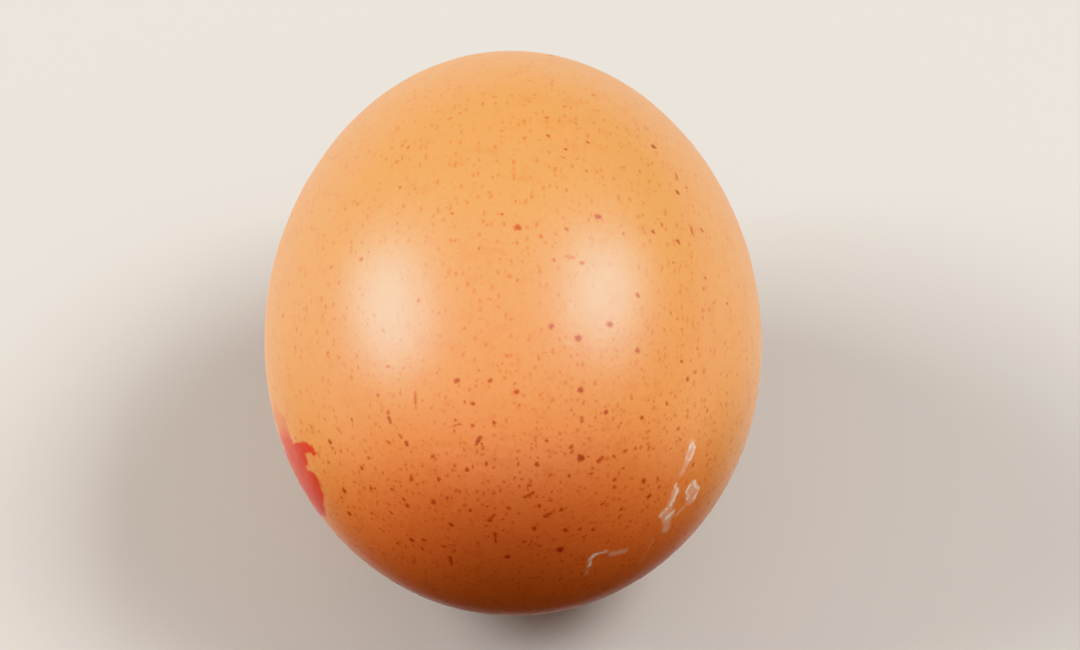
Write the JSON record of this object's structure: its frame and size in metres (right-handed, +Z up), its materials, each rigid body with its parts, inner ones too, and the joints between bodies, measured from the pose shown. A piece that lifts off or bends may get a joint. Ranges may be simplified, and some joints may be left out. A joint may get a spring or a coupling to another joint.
{
  "type": "hen's egg",
  "caption": "Whole brown speckled hen's egg in its shell, lying on its side as it rests on a flat surface.",
  "frame": {"origin": "the point of the small flat rest spot that lies straight under the centre of mass, on the surface that the egg lies on", "axes": "+Z up, out of the surface; the egg's long axis runs along Y, with the blunt end towards -Y and the pointed end towards +Y, dipping about 5 degrees; +X to the right when looking along +Y"},
  "size_m": [0.044, 0.0569, 0.0439],
  "materials": {
    "eggshell": "satin"
  },
  "bodies": {
    "root": {"egg": "eggshell"}
  },
  "joints": []
}
